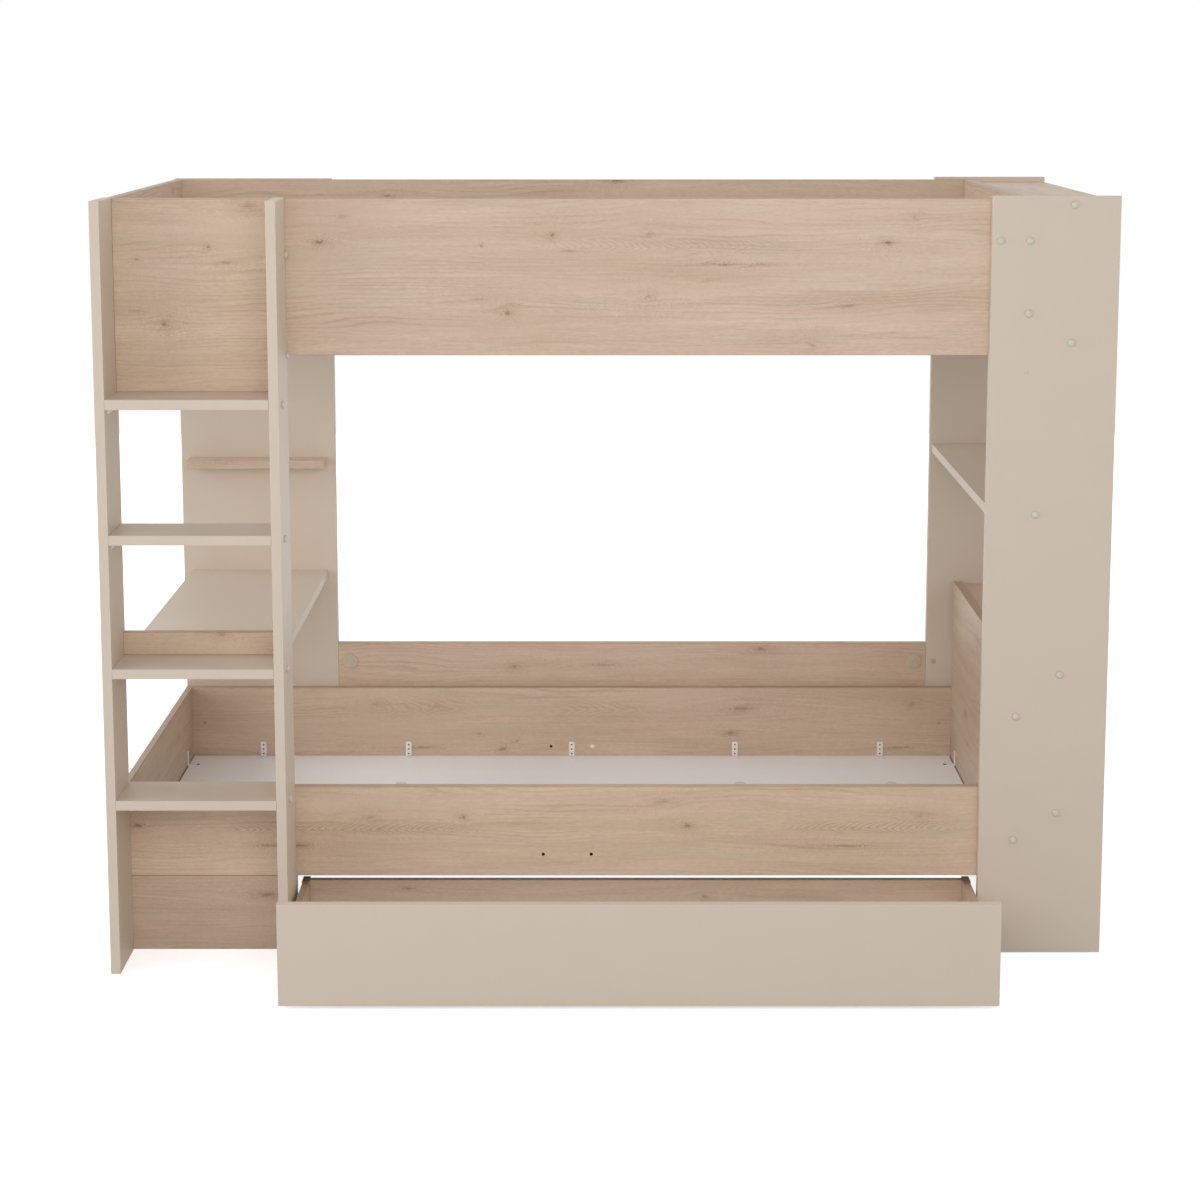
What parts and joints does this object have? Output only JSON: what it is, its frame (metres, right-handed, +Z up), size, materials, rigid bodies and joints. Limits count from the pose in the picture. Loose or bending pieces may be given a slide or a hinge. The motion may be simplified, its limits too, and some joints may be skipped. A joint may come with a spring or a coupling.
{
  "type": "bunk bed with drawer and shelf tower",
  "caption": "Bunk bed of coated boards with a front ladder, a desk behind it, an open shelf tower at the other end and a long drawer on casters under the lower bunk.",
  "frame": {"origin": "floor level, at the middle of the length and depth with the drawer pulled out as pictured", "axes": "+Z up, +X along the bed from the ladder to the shelf tower, +Y from the front to the back"},
  "size_m": [2.242, 1.3566, 1.73],
  "materials": {
    "beige_laminate": "matt melamine on board",
    "oak_laminate": "matt printed oak grain on board",
    "white_laminate": "satin white melamine on board",
    "zinc_steel": "zinc plated",
    "grey_plastic": "moulded"
  },
  "bodies": {
    "bed_frame": {"left_stile": "beige_laminate", "right_stile": "beige_laminate", "rung_1": "beige_laminate", "rung_2": "beige_laminate", "rung_3": "beige_laminate", "rung_4": "beige_laminate", "ladder_top_panel": "oak_laminate", "ladder_plinth": "oak_laminate", "left_back_panel": "beige_laminate", "desk_top": "beige_laminate", "desk_stop_strip": "oak_laminate", "pen_shelf": "oak_laminate", "upper_front_guard": "oak_laminate", "upper_back_board": "oak_laminate", "upper_left_end": "oak_laminate", "upper_right_end": "oak_laminate", "upper_base_front": "white_laminate", "upper_base_back": "white_laminate", "upper_base_rail_1": "white_laminate", "upper_base_rail_2": "white_laminate", "upper_base_rail_3": "white_laminate", "upper_base_rail_4": "white_laminate", "lower_front_board": "oak_laminate", "lower_back_board": "oak_laminate", "lower_left_end": "oak_laminate", "lower_right_end": "oak_laminate", "lower_back_guard": "oak_laminate", "lower_base_front": "white_laminate", "lower_base_back": "white_laminate", "lower_base_rail_1": "white_laminate", "lower_base_rail_2": "white_laminate", "lower_base_rail_3": "white_laminate", "lower_base_rail_4": "white_laminate", "lower_base_bracket_1": "zinc_steel", "lower_base_bracket_2": "zinc_steel", "lower_base_bracket_3": "zinc_steel", "lower_base_bracket_4": "zinc_steel", "lower_base_bracket_5": "zinc_steel", "tower_front_panel": "beige_laminate", "tower_back_panel": "beige_laminate", "tower_top_shelf": "oak_laminate", "tower_upper_shelf": "oak_laminate", "tower_middle_shelf": "beige_laminate", "tower_lower_shelf": "oak_laminate", "tower_bottom_shelf": "oak_laminate"},
    "drawer": {"drawer_front": "beige_laminate", "drawer_left_side": "oak_laminate", "drawer_right_side": "oak_laminate", "drawer_back": "oak_laminate", "drawer_bottom": "white_laminate", "drawer_stop_pad_left": "grey_plastic", "drawer_stop_pad_right": "grey_plastic", "caster_fork_front_left": "zinc_steel", "caster_fork_front_right": "zinc_steel", "caster_fork_back_left": "zinc_steel", "caster_fork_back_right": "zinc_steel"},
    "wheel_front_left": {"caster_wheel_front_left": "grey_plastic"},
    "wheel_front_right": {"caster_wheel_front_right": "grey_plastic"},
    "wheel_back_left": {"caster_wheel_back_left": "grey_plastic"},
    "wheel_back_right": {"caster_wheel_back_right": "grey_plastic"}
  },
  "joints": [
    {"name": "drawer_slide", "type": "slide", "parent": "bed_frame", "child": "drawer", "axis": [0, -1, 0], "range_m": [-0.358, 0.06]},
    {"name": "caster_roll_front_left", "type": "hinge", "parent": "drawer", "child": "wheel_front_left", "pos_m": [-0.6415, -0.606, 0.015], "axis": [1, 0, 0], "range_deg": [-1368, 230]},
    {"name": "caster_roll_front_right", "type": "hinge", "parent": "drawer", "child": "wheel_front_right", "pos_m": [0.7585, -0.606, 0.015], "axis": [1, 0, 0], "range_deg": [-1368, 230]},
    {"name": "caster_roll_back_left", "type": "hinge", "parent": "drawer", "child": "wheel_back_left", "pos_m": [-0.6415, -0.3043, 0.015], "axis": [1, 0, 0], "range_deg": [-1368, 230]},
    {"name": "caster_roll_back_right", "type": "hinge", "parent": "drawer", "child": "wheel_back_right", "pos_m": [0.7585, -0.3043, 0.015], "axis": [1, 0, 0], "range_deg": [-1368, 230]}
  ],
  "couplings": [
    {"joint": "caster_roll_front_left", "follows": "drawer_slide", "rad_per_m": 66.667},
    {"joint": "caster_roll_front_right", "follows": "drawer_slide", "rad_per_m": 66.667},
    {"joint": "caster_roll_back_left", "follows": "drawer_slide", "rad_per_m": 66.667},
    {"joint": "caster_roll_back_right", "follows": "drawer_slide", "rad_per_m": 66.667}
  ]
}
